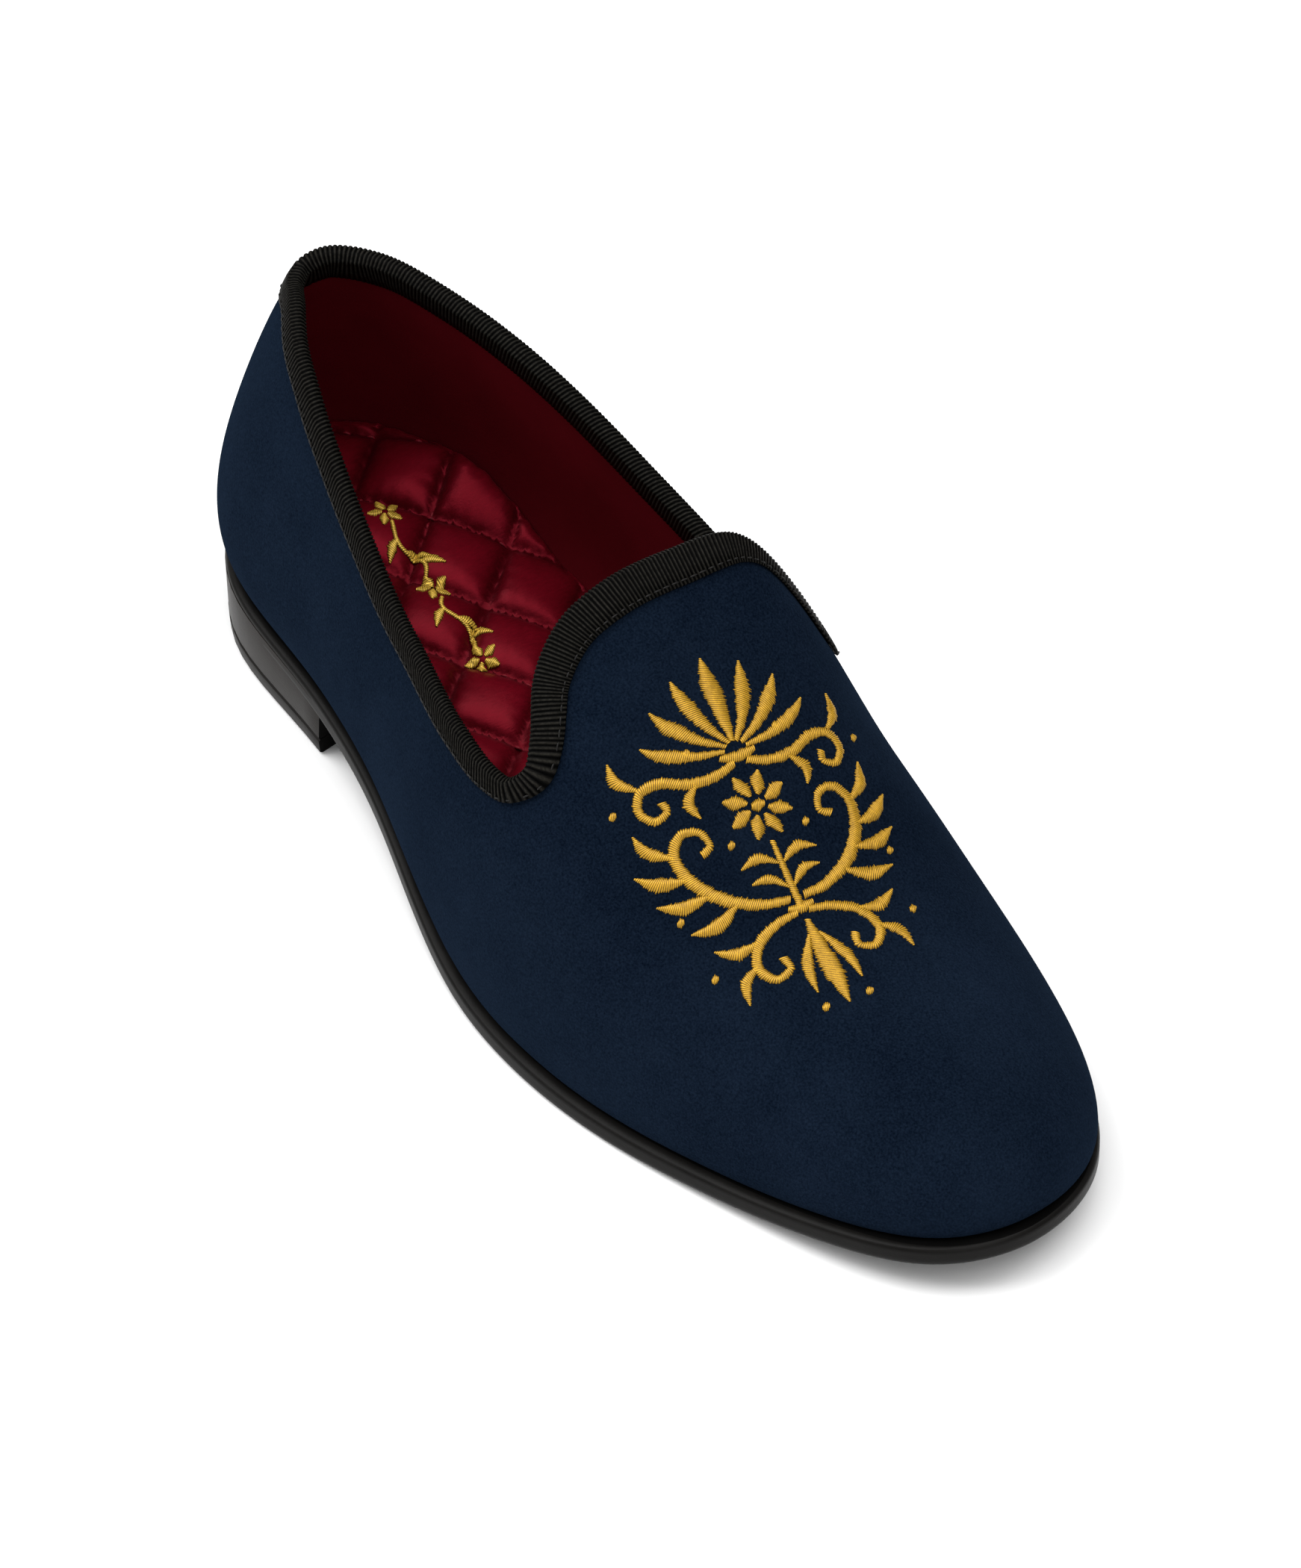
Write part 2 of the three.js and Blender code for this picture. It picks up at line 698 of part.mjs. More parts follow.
function makeHeel() {
  const top = (x) => seatZ(x) - SOLE_THICKNESS - GAP;
  return heelMesh([
    heelRing(HEEL_TAPER + ROUNDING, HEEL_LENGTH, () => TOP_PIECE + GAP),
    heelRing(HEEL_TAPER, HEEL_LENGTH, () => TOP_PIECE + GAP + ROUNDING),
    heelRing(HEEL_INSET, HEEL_LENGTH + HEEL_LEAN, (x) => top(x) - ROUNDING),
    heelRing(HEEL_INSET + ROUNDING, HEEL_LENGTH + HEEL_LEAN, top),
  ]);
}

function makeTopPiece() {
  return heelMesh([
    heelRing(HEEL_TAPER + 3 * ROUNDING, HEEL_LENGTH - ROUNDING, () => 0),
    heelRing(HEEL_TAPER + ROUNDING, HEEL_LENGTH, () => 2 * ROUNDING),
    heelRing(HEEL_TAPER, HEEL_LENGTH, () => TOP_PIECE - ROUNDING),
    heelRing(HEEL_TAPER + ROUNDING, HEEL_LENGTH, () => TOP_PIECE),
  ]);
}

// Finishes
const finish = (color, roughness) => new THREE.MeshStandardMaterial({
  color,
  roughness,
  metalness: 0,
});
const velvet = finish(0x2c3a50, 0.95);
const ribbon = finish(0x1b1c1c, 0.8);
const satin = finish(0x8c1f35, 0.6);
const leather = finish(0x161413, 0.45);
const stack = finish(0x3a322e, 0.4);
const rubber = finish(0x1c1a19, 0.6);

// Assembly, centred over the floor
const shoe = new THREE.Group();
shoe.name = 'slipper_loafer';
const pieces = [
  ['upper', makeUpper(), velvet],
  ['binding', makeBinding(), ribbon],
  ['insole', makeInsole(), satin],
  ['outsole', makeOutsole(), leather],
  ['heel', makeHeel(), stack],
  ['top_piece', makeTopPiece(), rubber],
];
const box = new THREE.Box3();
for (const [name, geometry, material] of pieces) {
  const mesh = new THREE.Mesh(geometry, material);
  mesh.name = name;
  shoe.add(mesh);
  geometry.computeBoundingBox();
  box.union(geometry.boundingBox);
}
const middle = box.getCenter(new THREE.Vector3());
for (const mesh of shoe.children) mesh.position.set(-middle.x, -middle.y, -box.min.z);

export default shoe;
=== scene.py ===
# Velvet slipper loafer, right shoe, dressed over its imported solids. All lengths are in metres.
import math
import random

import bmesh
import bpy
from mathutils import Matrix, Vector
from mathutils.bvhtree import BVHTree


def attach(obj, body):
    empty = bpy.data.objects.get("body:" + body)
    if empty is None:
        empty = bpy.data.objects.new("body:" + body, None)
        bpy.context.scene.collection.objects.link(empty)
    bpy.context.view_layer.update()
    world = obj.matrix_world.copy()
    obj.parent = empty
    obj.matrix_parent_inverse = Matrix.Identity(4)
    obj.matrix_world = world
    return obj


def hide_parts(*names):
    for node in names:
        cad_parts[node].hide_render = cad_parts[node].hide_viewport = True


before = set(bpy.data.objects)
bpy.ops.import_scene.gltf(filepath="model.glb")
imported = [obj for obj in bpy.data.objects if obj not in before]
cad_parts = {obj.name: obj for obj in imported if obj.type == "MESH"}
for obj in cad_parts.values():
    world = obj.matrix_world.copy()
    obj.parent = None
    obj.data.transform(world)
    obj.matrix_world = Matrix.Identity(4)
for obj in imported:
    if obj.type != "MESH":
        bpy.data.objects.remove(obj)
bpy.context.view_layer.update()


# Studio: a plain pale sweep under soft boxes. It isn't part of the shoe.
# The camera stands high over the toe's outer side, a long way off, rolled a little.
class Value:
    """A number or colour that varies over a surface; sums of it add Math nodes."""

    def __init__(self, finish, socket):
        self.finish = finish
        self.socket = socket

    def math(self, operation, first, second):
        return self.finish.node("Math", {"operation": operation}, {0: first, 1: second})

    def __add__(self, other):
        return self.math("ADD", self, other)

    def __radd__(self, other):
        return self.math("ADD", other, self)

    def __sub__(self, other):
        return self.math("SUBTRACT", self, other)

    def __rsub__(self, other):
        return self.math("SUBTRACT", other, self)

    def __mul__(self, other):
        return self.math("MULTIPLY", self, other)

    def __rmul__(self, other):
        return self.math("MULTIPLY", other, self)

    def __pow__(self, other):
        return self.math("POWER", self, other)

    def __rpow__(self, other):
        return self.math("POWER", other, self)


class Finish:
    """One procedural material: fixed settings on its shader, and what varies fed into it."""

    def __init__(self, name, **fixed):
        self.material = bpy.data.materials.new(name)
        self.material.use_nodes = True
        self.tree = self.material.node_tree
        self.shader = self.tree.nodes["Principled BSDF"]
        for key, value in fixed.items():
            self.shader.inputs[key.replace("_", " ")].default_value = value

    def node(self, kind, settings=(), inputs=(), output=0):
        """Adds a node of one kind, with its settings and the values or links of its sockets."""
        made = self.tree.nodes.new("ShaderNode" + kind)
        for key, value in dict(settings).items():
            setattr(made, key, value)
        for key, value in dict(inputs).items():
            if isinstance(value, Value):
                self.tree.links.new(value.socket, made.inputs[key])
            else:
                made.inputs[key].default_value = value
        return Value(self, made.outputs[output])

    def place(self, scale=(1, 1, 1), turn=(0, 0, 0)):
        spot = self.node("TexCoord", output="Object")
        return self.node("Mapping", inputs={"Vector": spot, "Scale": scale, "Rotation": turn})

    def noise(self, scale, detail=2.0, place=None):
        inputs = {"Vector": place or self.place(), "Scale": scale, "Detail": detail}
        return self.node("TexNoise", inputs=inputs)

    def between(self, share, first, second):
        """Mixes two colours. A Mix node has its colours in sockets 6 and 7, and the result in 2."""
        inputs = {0: share, 6: (*first, 1), 7: (*second, 1)}
        return self.node("Mix", {"data_type": "RGBA"}, inputs, output=2)

    def feed(self, **varying):
        for key, value in varying.items():
            self.tree.links.new(value.socket, self.shader.inputs[key.replace("_", " ")])

    def relief(self, height, depth, strength=1.0):
        inputs = {"Height": height, "Distance": depth, "Strength": strength}
        self.feed(Normal=self.node("Bump", inputs=inputs))


bpy.ops.object.select_all(action="DESELECT")
bpy.ops.mesh.primitive_plane_add(size=6, location=(0, 0, 0))
floor = bpy.context.object
floor.name = "floor"
paper = Finish("pale_paper", Roughness=0.9)
paper.feed(Base_Color=paper.between(paper.noise(3.0), (0.86, 0.86, 0.86), (0.9, 0.9, 0.9)))
floor.data.materials.append(paper.material)

sky = bpy.data.worlds.new("studio")
bpy.context.scene.world = sky
sky.use_nodes = True
sky.node_tree.nodes["Background"].inputs["Color"].default_value = (1, 1, 1, 1)
sky.node_tree.nodes["Background"].inputs["Strength"].default_value = 0.28
bpy.context.scene.view_settings.view_transform = "Standard"

SOFT_BOXES = {
    "key": {"place": (-0.9, -0.9, 1.5), "size": 1.7, "power": 42},
    "top": {"place": (0.3, 0.2, 1.9), "size": 2.0, "power": 36},
    "fill": {"place": (1.5, -0.6, 1.0), "size": 1.8, "power": 15},
}
for name, box in SOFT_BOXES.items():
    aim = (Vector((0, 0, 0.04)) - Vector(box["place"])).to_track_quat("-Z", "Y").to_euler()
    bpy.ops.object.light_add(type="AREA", location=box["place"], rotation=aim)
    lamp = bpy.context.object
    lamp.name = name
    lamp.data.size = box["size"]
    lamp.data.energy = box["power"]

azimuth, elevation, roll = (math.radians(a) for a in (53.42, 43.23, 1.31))
look_at = Vector((-0.02840, 0.02635, 0))
distance = 4.5
pixels_per_metre = 5860
frame_height = 2100
back = Vector((
    math.sin(azimuth) * math.cos(elevation),
    -math.cos(azimuth) * math.cos(elevation),
    math.sin(elevation),
))
bpy.ops.object.camera_add(location=look_at + back * distance)
camera = bpy.context.object
camera.rotation_euler = (-back).to_track_quat("-Z", "Y").to_euler()
camera.rotation_euler.rotate_axis("Z", roll)
camera.data.lens = camera.data.sensor_width * pixels_per_metre * distance / frame_height
bpy.context.scene.camera = camera


# Upper: one hollow shell of navy velvet over a thin board, lined with smooth dark red cloth.
# It is lasted in one piece, so no side seam shows, and it turns under at the feather line.
VELVET_DEEP = (0.0010, 0.0024, 0.0060)
VELVET_NAP = (0.0066, 0.0122, 0.0236)
LINING_DEEP = (0.048, 0.0012, 0.0030)
LINING_WORN = (0.085, 0.0028, 0.0060)
START_BAND = 0.0022
TOE_INNER_SIDE = Vector((0.6, 0.8, 0))
TOE_FACING = 0.6
TOE_START = 0.06
TOE_FADE = 0.05
SIDE_TOP = 0.040
SIDE_FADE = 0.02
UPPER_FULLER = 0.0014


def alone(piece):
    bpy.ops.object.select_all(action="DESELECT")
    piece.select_set(True)
    bpy.context.view_layer.objects.active = piece
    return piece


def grid_of(node):
    """The loops of a CAD node that is a closed tube: grid[along][around].

    The first column is at the back seam, and each column starts at the lowest outer edge."""
    mesh = bmesh.new()
    mesh.from_mesh(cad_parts[node].data)
    bmesh.ops.remove_doubles(mesh, verts=mesh.verts, dist=1e-6)
    first = next(iter(mesh.faces))
    family = {edge: k for k, edge in enumerate(first.edges)}
    waiting = [first]
    while waiting:
        face = waiting.pop()
        for edge in face.edges:
            for near in edge.link_faces:
                fresh = [e for e in near.edges if e not in family]
                for e in fresh:
                    others = [f for f in face.edges if f is not edge]
                    twin = next(f for f in others if not set(f.verts) & set(e.verts))
                    family[e] = family[twin]
                if fresh:
                    waiting.append(near)
    spans = [[e.calc_length() for e in mesh.edges if family[e] == k] for k in range(3)]
    spans = [sum(s) / len(s) for s in spans]
    kinds = [k for k in range(3) if k != spans.index(max(spans))]

    def walk(start, kind, toward=None):
        chain, here, edge = [start], start, None
        while True:
            steps = [e for e in here.link_edges if family[e] == kind and e is not edge]
            if toward is not None and len(chain) == 1:
                steps = [e for e in steps if e.other_vert(here) in toward]
            edge = steps[0]
            here = edge.other_vert(here)
            if here is start:
                return chain
            chain.append(here)

    corner = next(iter(mesh.verts))
    around, along = sorted(kinds, key=lambda k: len(walk(corner, k)))
    rings = []
    for vert in walk(corner, along):
        toward = None
        if rings:
            second = rings[-1][1]
            toward = {e.other_vert(second) for e in second.link_edges if family[e] == along}
        rings.append(walk(vert, around, toward))
    count = len(rings[0])
    height = [sum(r[j].co.z for r in rings) / len(rings) for j in range(count)]
    girth = [sum((a[j].co - b[j].co).length for a, b in zip(rings, rings[1:])) for j in range(count)]
    lowest = [j for j in range(count) if height[j] < min(height) + START_BAND]
    start = max(lowest, key=lambda j: girth[j])
    step = 1 if height[(start + 1) % count] > height[start - 1] else -1
    grid = [[r[(start + step * j) % count].co.copy() for j in range(count)] for r in rings]
    mesh.free()
    seam = min(range(len(grid)), key=lambda k: grid[k][1].x)
    grid = grid[seam:] + grid[:seam]
    return grid if grid[1][1].y < grid[-1][1].y else grid[:1] + grid[:0:-1]


def new_piece(name, points, faces):
    """One smooth object from plain points and faces, with its normals facing out."""
    mesh = bpy.data.meshes.new(name)
    mesh.from_pydata(points, [], faces)
    piece = bpy.data.objects.new(name, mesh)
    bpy.context.scene.collection.objects.link(piece)
    alone(piece)
    bpy.ops.object.mode_set(mode="EDIT")
    bpy.ops.mesh.select_all(action="SELECT")
    bpy.ops.mesh.normals_make_consistent(inside=False)
    bpy.ops.object.mode_set(mode="OBJECT")
    bpy.ops.object.shade_smooth()
    return piece


def tube(name, grid):
    """A closed piece over a grid that wraps round both ways."""
    rows, columns = len(grid[0]), len(grid)
    faces = []
    for k in range(columns):
        for j in range(rows):
            a, b = k * rows, (k + 1) % columns * rows
            faces.append((a + j, b + j, b + (j + 1) % rows, a + (j + 1) % rows))
    return new_piece(name, [p for ring in grid for p in ring], faces)


def fuller(piece, amount):
    """Moves the side of a piece out, at the inner side of the toe only, and below a height."""
    moves = []
    for vert in piece.data.vertices:
        flat = Vector((vert.normal.x, vert.normal.y, 0))
        facing = flat.normalized().dot(TOE_INNER_SIDE) if flat.length > 0.2 else 0
        shares = (
            (facing - TOE_FACING) / (1 - TOE_FACING),
            (vert.co.x - TOE_START) / TOE_FADE,
            (SIDE_TOP - vert.co.z) / SIDE_FADE,
        )
        moves.append(flat.normalized() * (amount * math.prod(min(1, max(0, share)) for share in shares)))
    for vert, move in zip(piece.data.vertices, moves):
        vert.co += move


def subdivide(piece, levels):
    alone(piece)
    bpy.ops.object.modifier_add(type="SUBSURF")
    smooth = piece.modifiers[-1]
    smooth.levels = smooth.render_levels = levels
    bpy.ops.object.modifier_apply(modifier=smooth.name)


upper_grid = grid_of("upper")
upper = tube("velvet_upper", upper_grid)
fuller(upper, UPPER_FULLER)
outer_rows = len(upper_grid[0]) // 2
for face in upper.data.polygons:
    face.material_index = int(outer_rows <= face.index % len(upper_grid[0]) < 2 * outer_rows - 1)
subdivide(upper, 2)

velvet = Finish("navy_velvet", Roughness=0.95, Sheen_Weight=0.05, Sheen_Roughness=0.5)
velvet.shader.inputs["Sheen Tint"].default_value = (0.16, 0.27, 0.46, 1)
velvet.shader.inputs["Specular IOR Level"].default_value = 0.0
brushed = velvet.noise(22.0, 3.0) * 0.9 + velvet.noise(140.0, 2.0) * 0.25
pile = velvet.noise(1900.0, 3.0) * 1.5
velvet.feed(Base_Color=velvet.between(brushed + pile - 0.92, VELVET_DEEP, VELVET_NAP))
velvet.relief(velvet.noise(2300.0, 3.0), 0.00025, 0.7)
upper.data.materials.append(velvet.material)

lining = Finish("red_lining", Roughness=0.75, Sheen_Weight=0.04, Sheen_Roughness=0.5)
lining.shader.inputs["Sheen Tint"].default_value = (0.9, 0.04, 0.07, 1)
lining.shader.inputs["Specular IOR Level"].default_value = 0.02
lining.feed(Base_Color=lining.between(lining.noise(60.0, 4.0), LINING_DEEP, LINING_WORN))
lining.relief(lining.noise(3200.0, 1.0), 0.00008, 0.4)
upper.data.materials.append(lining.material)
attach(upper, "root")
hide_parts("upper")


# Binding: black grosgrain ribbon folded over the topline and sewn down on both sides.
# Its cross ribs stand about a millimetre apart and lean a little down both sides.
RIBBON_BLACK_IN_SHADE = (0.0001, 0.0001, 0.0001)
RIBBON_LIT = (0.0200, 0.0186, 0.0156)
RIB_PITCH = 0.00104
RIB_RELIEF = 0.00036
RIB_STEPS = 5
OUTER_ROWS = 13
# How much of the ribbon's legs is cut off, as a share, at even steps round the topline.
HEM_TRIM = (
    0.3, 0.5, 0.5, 0.5, 0.5, 0.5, 0.5, 0.5, 0.5, 0.15, 0, 0,
    0, 0.15, 0.5, 0.6, 0.6, 0.5, 0.5, 0.5, 0.5, 0.5, 0.4, 0.3,
)
# From the outer hem over the fold to the inner hem: how far the ribs lean along the topline,
# how strongly they show, and how far the ribbon stands proud of its solid in mm.
RIB_SLANT = (
    -0.58, -0.42, -0.25, -0.17, -0.10, -0.05, 0, 0.05, 0.10, 0.12, 0.15, 0.25, 0.36,
    0.36, 0.25, 0.10, -0.10, -0.40, -0.58,
)
RIB_SHOWN = (0.3, 1, 1, 1, 1, 1, 1, 1, 1, 1, 1, 1, 0.5, 0, 0, 0, 0, 0, 0)
ROUNDING = (
    -0.3, -0.3, -0.25, -0.15, -0.1, 0.15, 0.35, 0.15, -0.1, -0.15, -0.2, 0, 0, 0, 0, 0, 0, 0, 0,
)


def spline(points, closed=True):
    """A smooth curve through points, read at a number from 0 to their count."""
    n = len(points)

    def at(t):
        k = math.floor(t)
        f = t - k
        near = [i % n if closed else min(max(i, 0), n - 1) for i in range(k - 1, k + 3)]
        a, b, c, d = (points[i] for i in near)
        square = 2 * a - 5 * b + 4 * c - d
        cube = 3 * b - a - 3 * c + d
        return 0.5 * (2 * b + (c - a) * f + square * f**2 + cube * f**3)

    return at


def evenly(curve, span, count, closed=True, fine=40):
    """Readings of a curve that lie count even steps apart along its length."""
    reads = [span * i / (span * fine) for i in range(span * fine + 1)]
    spots = [curve(t) for t in reads]
    sums = [0.0]
    for a, b in zip(spots, spots[1:]):
        sums.append(sums[-1] + (b - a).length)
    found, k = [], 0
    for i in range(count if closed else count + 1):
        want = min(sums[-1] * i / count, sums[-1] * 0.9999999)
        while sums[k + 1] < want:
            k += 1
        share = (want - sums[k]) / (sums[k + 1] - sums[k])
        found.append(reads[k] + (reads[k + 1] - reads[k]) * share)
    return found, sums[-1]


ribbon_grid = grid_of("binding")
columns = len(ribbon_grid)
trims = spline([Vector((share, 0)) for share in HEM_TRIM])
rows = []
for j in range(len(RIB_SLANT)):
    line = []
    for k, ring in enumerate(ribbon_grid):
        kept = 1 - trims(k * len(HEM_TRIM) / columns).x
        if j < OUTER_ROWS:
            level = j / 2 if j > 2 else 1 - (1 - j / 2) * kept
            line.append(spline(ring[:7], closed=False)(level))
        else:
            level = j - 13 if j < 17 else 3 + (j - 16) * kept
            line.append(spline(ring[7:], closed=False)(level))
    rows.append(spline(line))
crown = rows[6]
length = evenly(crown, columns, 100)[1]
ribs = round(length / RIB_PITCH)
reads = evenly(crown, columns, ribs * RIB_STEPS)[0]
ribbed = []
for i, t in enumerate(reads):
    lag = math.sin(2 * math.pi * t / columns)
    ring = [row(t - slant * lag) for row, slant in zip(rows, RIB_SLANT)]
    ahead = [row(t + 0.05 - slant * lag) for row, slant in zip(rows, RIB_SLANT)]
    swell = RIB_RELIEF * math.sin(math.pi * (i % RIB_STEPS) / RIB_STEPS) ** 0.7
    outs = []
    for j, spot in enumerate(ring):
        side = ring[(j + 1) % len(ring)] - ring[j - 1]
        outs.append(side.cross(ahead[j] - spot).normalized())
    centre = sum(ring, Vector()) / len(ring)
    facing = 1 if outs[6].dot(ring[6] - centre) > 0 else -1
    proud = [facing * (swell * shown + full / 1000) for shown, full in zip(RIB_SHOWN, ROUNDING)]
    ribbed.append([spot + out * high for spot, out, high in zip(ring, outs, proud)])
binding = tube("grosgrain_binding", ribbed)
crests = binding.data.attributes.new("crest", "FLOAT", "POINT")
for k in range(len(ribbed)):
    for j in range(len(rows)):
        crests.data[k * len(rows) + j].value = math.sin(math.pi * (k % RIB_STEPS) / RIB_STEPS)

grosgrain = Finish("black_grosgrain", Roughness=0.5)
grosgrain.shader.inputs["Specular IOR Level"].default_value = 0.02
# Painted light: each rib's crest is painted lighter, and its flanks and grooves near black as shade,
# broken up at random.
crest = grosgrain.node("Attribute", {"attribute_name": "crest"}, output="Fac")
lit_crests = crest ** 4.0 * (grosgrain.noise(1300.0, 3.0) * 1.6 - 0.1)
grosgrain.feed(Base_Color=grosgrain.between(lit_crests, RIBBON_BLACK_IN_SHADE, RIBBON_LIT))
grosgrain.relief(grosgrain.noise(5200.0, 2.0), 0.00006, 0.5)
binding.data.materials.append(grosgrain.material)
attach(binding, "root")
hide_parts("binding")


# Hem thread: black running stitches hold the ribbon's outer hem down on the velvet.
# Each one lies over the ribs and dips between them at both ends.
HEM_STITCH = {"pitch": 0.0026, "length": 0.0018, "radius": 0.0002}
HEM_SLANT = -0.53
HEM_INSET = 0.3
# One stitch from end to end: place along it, width and height, in shares of its size.
STITCH_SHAPE = (
    (-0.5, 0.3, -0.25), (-0.3, 1.0, 0.5), (0.0, 1.1, 0.8), (0.3, 1.0, 0.5), (0.5, 0.3, -0.25),
)
STITCH_SIDES = 6
YARN_BLACK = (0.002, 0.002, 0.002)
YARN_LIT = (0.012, 0.011, 0.010)


def stitch(work, first, last, up, radius):
    """One short rounded thread from first to last, bowed up in the middle."""
    points, faces, lit = work
    across = (last - first).cross(up).normalized()
    start = len(points)
    for place, wide, high in STITCH_SHAPE:
        base = first.lerp(last, place + 0.5) + up * (high * radius)
        for k in range(STITCH_SIDES):
            a = 2 * math.pi * k / STITCH_SIDES
            points.append(base + (across * math.cos(a) + up * math.sin(a)) * (wide * radius))
            # lit is painted light: highest along the top of the thread, lowest underneath it.
            lit.append(0.5 + 0.5 * wide * math.sin(a))
    for r in range(len(STITCH_SHAPE) - 1):
        a, b = start + r * STITCH_SIDES, start + (r + 1) * STITCH_SIDES
        for k in range(STITCH_SIDES):
            faces.append((a + k, a + (k + 1) % STITCH_SIDES, b + (k + 1) % STITCH_SIDES, b + k))
    faces.append(tuple(start + k for k in range(STITCH_SIDES - 1, -1, -1)))
    end = start + (len(STITCH_SHAPE) - 1) * STITCH_SIDES
    faces.append(tuple(end + k for k in range(STITCH_SIDES)))


def sewn_piece(name, points, faces, lit):
    """A new piece of stitches; lit is kept as an attribute of its points."""
    piece = new_piece(name, points, faces)
    piece.data.attributes.new("lit", "FLOAT", "POINT").data.foreach_set("value", lit)
    return piece


work = ([], [], [])
stride = HEM_STITCH["length"] / length * columns
for t in evenly(crown, columns, round(length / HEM_STITCH["pitch"]))[0]:
    lag = HEM_SLANT * math.sin(2 * math.pi * t / columns)
    ends = [rows[0](t + d - lag).lerp(rows[1](t + d - lag), HEM_INSET) for d in (0, stride)]
    rise = rows[1](t) - rows[0](t)
    up = rise.cross(ends[1] - ends[0]).normalized()
    up = up if up.dot(ends[0] - rows[16](t)) > 0 else -up
    lift = up * (RIB_RELIEF / 3 + ROUNDING[0] / 1000)
    stitch(work, ends[0] + lift, ends[1] + lift, up, HEM_STITCH["radius"])
hem = sewn_piece("hem_thread", *work)
yarn = Finish("black_thread", Roughness=0.5)
yarn.shader.inputs["Specular IOR Level"].default_value = 0.15
yarn.feed(Base_Color=yarn.between(yarn.noise(900.0), YARN_BLACK, YARN_LIT))
hem.data.materials.append(yarn.material)
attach(hem, "root")


# Insole: a crimson satin sock over soft foam, sewn through in diamonds, its rim up the walls.
# The cloth is blown up between its stitch lines, and the thread lies in the channels.
QUILT_PITCH = (0.0190, 0.0180)
QUILT_ANGLE = math.radians(37.5)
QUILT_CORNER = Vector((-0.0784, 0.0155, 0))
QUILT_DEPTH = 0.0040
CREASE_DEPTH = 0.0006
CREASE_WIDTH = 0.0008
PUCKER_HEIGHT = 0.00022
PUCKER_WIDTH = 0.0025
PUCKER_PITCH = 0.0036
SHADE_WIDTH = 0.0022
CLOTH_GRAIN = 0.0021
PINNED_WIDTH = 0.0016
PUFF_FRAMES = 20
PUFF_PRESSURE = 6
PUFF_LIMIT = 0.0022
SATIN_DEEP = (0.036, 0.0006, 0.0022)
SATIN_LIT = (0.130, 0.0024, 0.0082)


def quilt_lines(spot):
    """How far a spot is across both ways of quilting, each from its nearest stitch line."""
    x, y = spot.x - QUILT_CORNER.x, spot.y - QUILT_CORNER.y
    c, s = math.cos(QUILT_ANGLE), math.sin(QUILT_ANGLE)
    ways = (c * x + s * y, c * y - s * x)
    return [way - pitch * round(way / pitch) for way, pitch in zip(ways, QUILT_PITCH)], ways


def merged_copy(node, name, quads=False):
    """A copy of a CAD node as a piece of its own, with the corners of its triangles merged."""
    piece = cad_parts[node].copy()
    piece.data = piece.data.copy()
    piece.parent = None
    for key in list(piece.keys()):
        del piece[key]
    piece.name = name
    bpy.context.scene.collection.objects.link(piece)
    piece.data.materials.clear()
    alone(piece)
    bpy.ops.object.mode_set(mode="EDIT")
    bpy.ops.mesh.select_all(action="SELECT")
    bpy.ops.mesh.remove_doubles(threshold=1e-6)
    if quads:
        bpy.ops.mesh.tris_convert_to_quads(face_threshold=0.7, shape_threshold=3.14)
    bpy.ops.object.mode_set(mode="OBJECT")
    return piece


insole = merged_copy("insole", "quilted_insole")
bpy.ops.object.modifier_add(type="REMESH")
voxels = insole.modifiers[-1]
voxels.mode = "VOXEL"
voxels.voxel_size = CLOTH_GRAIN
bpy.ops.object.modifier_apply(modifier=voxels.name)

sewn = insole.vertex_groups.new(name="sewn")
for vert in insole.data.vertices:
    near = min(abs(d) for d in quilt_lines(vert.co)[0])
    held = 1.0 if vert.normal.z < 0.6 or near < PINNED_WIDTH else 0.0
    sewn.add([vert.index], held, "REPLACE")
before = [v.co.copy() for v in insole.data.vertices]
bpy.ops.object.modifier_add(type="CLOTH")
cloth = insole.modifiers[-1]
cloth.settings.quality = 4
cloth.settings.use_pressure = True
cloth.settings.uniform_pressure_force = PUFF_PRESSURE
cloth.settings.vertex_group_mass = "sewn"
cloth.settings.pin_stiffness = 5
cloth.settings.effector_weights.gravity = 0
cloth.point_cache.frame_start = 1
cloth.point_cache.frame_end = PUFF_FRAMES
for step in range(1, PUFF_FRAMES + 1):
    bpy.context.scene.frame_set(step)
bpy.ops.object.modifier_apply(modifier=cloth.name)
bpy.context.scene.frame_set(1)
for vert, was in zip(insole.data.vertices, before):
    move = vert.co - was
    if move.length > PUFF_LIMIT:
        vert.co = was + move * (PUFF_LIMIT / move.length)
subdivide(insole, 1)
insole.vertex_groups.clear()
upward = [v.normal.z for v in insole.data.vertices]
walls = BVHTree.FromObject(upper, bpy.context.evaluated_depsgraph_get())
seam_shade = insole.data.attributes.new("seam", "FLOAT", "POINT").data
for vert, up in zip(insole.data.vertices, upward):
    if up < 0.35:
        continue
    offsets, ways = quilt_lines(vert.co)
    shares = [1 - 2 * abs(offset) / pitch for offset, pitch in zip(offsets, QUILT_PITCH)]
    swell = math.sqrt((1 - shares[0] ** 2.4) * (1 - shares[1] ** 2.4))
    near, run = sorted(((abs(offsets[0]), ways[1]), (abs(offsets[1]), ways[0])))[0]
    fading = math.exp(-near / PUCKER_WIDTH)
    pucker = PUCKER_HEIGHT * fading * math.sin(2 * math.pi * run / PUCKER_PITCH)
    crease = CREASE_DEPTH * math.exp(-((near / CREASE_WIDTH) ** 2))
    drop = QUILT_DEPTH * (1 - swell) + crease - pucker
    rim = min(1.0, walls.find_nearest(vert.co)[3] / 0.007)
    vert.co.z -= drop * min(1.0, (up - 0.35) / 0.3) * (0.25 + 0.75 * rim)
    # Painted shade along the stitch lines: 1 on a line, fading away from it over SHADE_WIDTH.
    seam_shade[vert.index].value = math.exp(-near / SHADE_WIDTH)
alone(insole)
bpy.ops.object.shade_smooth()

